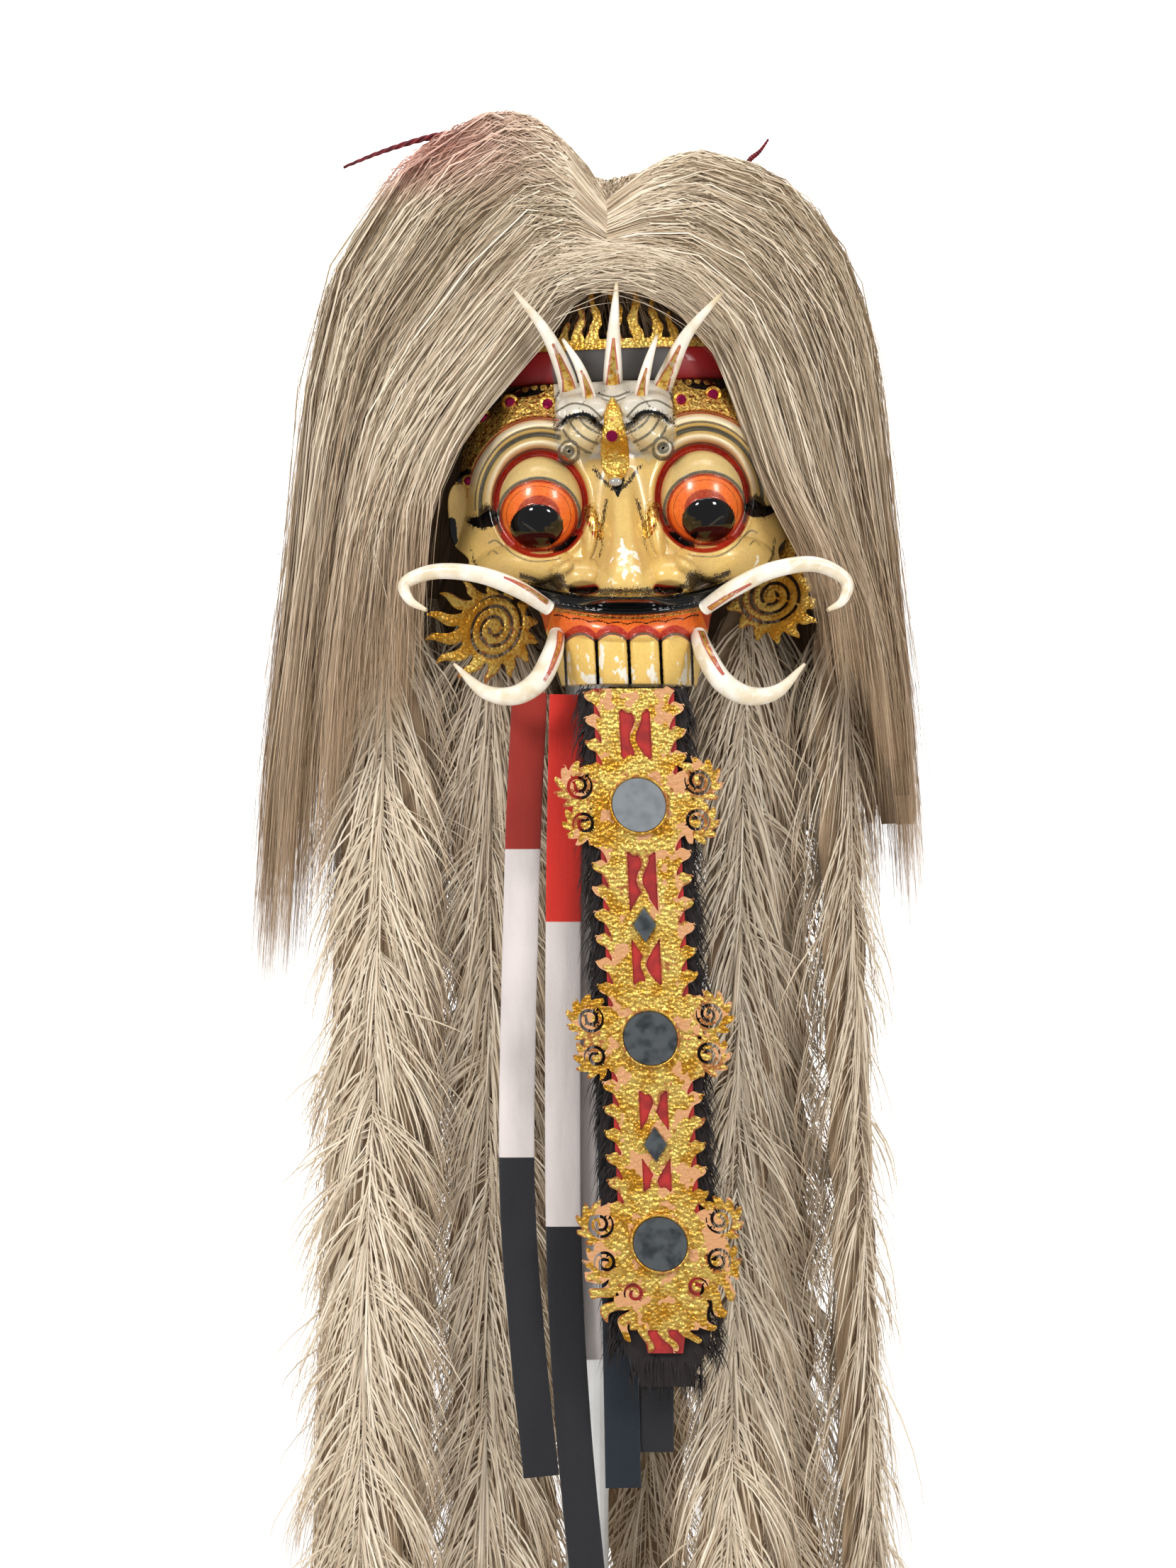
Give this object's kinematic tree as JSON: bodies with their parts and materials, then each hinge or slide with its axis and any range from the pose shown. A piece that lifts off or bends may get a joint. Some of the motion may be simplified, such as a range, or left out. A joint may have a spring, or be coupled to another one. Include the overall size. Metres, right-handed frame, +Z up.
{
  "type": "balinese dance mask on a stand",
  "caption": "Painted wooden demon dance mask with tusks, horns, a flame crown, gilded leather ears, a long mirrored tongue, cloth strips and long pale hair, upright on its post and base.",
  "frame": {"origin": "middle of the underside of the stand's base", "axes": "+Z up, the face looks along -Y"},
  "size_m": [0.5886, 0.4201, 1.5449],
  "materials": {
    "face_paint": "glossy painted carved wood, cream yellow with black, grey, red and orange lines and worn white patches",
    "ivory_paint": "satin ivory paint with gilded red grooves",
    "gilding": "gold leaf on punched leather, worn to orange brown",
    "crown_cloth": "red cloth, dark grey in the middle",
    "tongue_leather": "red felted cloth over leather",
    "fur": "coarse dark brown fur",
    "mirror_glass": "old dull mirror glass",
    "strip_cloth": "plain cotton, each strip sewn from red, white and black lengths",
    "hair": "pale grey blond fibre, darker and warmer underneath",
    "rattan": "woven rattan",
    "thong_leather": "maroon twisted leather",
    "stand_paint": "matt white powder coat",
    "rest_wood": "matt white paint"
  },
  "bodies": {
    "root": {"cap": "rattan", "crown_band": "crown_cloth", "crown_flames": "gilding", "diamond_1": "mirror_glass", "diamond_2": "mirror_glass", "ear_left": "gilding", "ear_right": "gilding", "face": "face_paint", "forehead_jewel": "gilding", "hair_left": "hair", "hair_right": "hair", "horn_centre": "ivory_paint", "horn_inner_left": "ivory_paint", "horn_inner_right": "ivory_paint", "horn_outer_left": "ivory_paint", "horn_outer_right": "ivory_paint", "mirror_1": "mirror_glass", "mirror_2": "mirror_glass", "mirror_3": "mirror_glass", "plume_back_left": "hair", "plume_back_right": "hair", "plume_front_left": "hair", "plume_front_right": "hair", "plume_inner_left": "hair", "plume_inner_right": "hair", "plume_rear_left": "hair", "plume_rear_right": "hair", "plume_side_left": "hair", "plume_side_right": "hair", "stand_base": "stand_paint", "stand_post": "stand_paint", "stand_rest": "rest_wood", "strip_a": "strip_cloth", "strip_b": "strip_cloth", "strip_c": "strip_cloth", "strip_d": "strip_cloth", "strip_e": "strip_cloth", "thong_left": "thong_leather", "thong_right": "thong_leather", "tongue": "tongue_leather", "tongue_fur": "fur", "tongue_gilding": "gilding", "tusk_lower_left": "ivory_paint", "tusk_lower_right": "ivory_paint", "tusk_upper_left": "ivory_paint", "tusk_upper_right": "ivory_paint"}
  },
  "joints": []
}
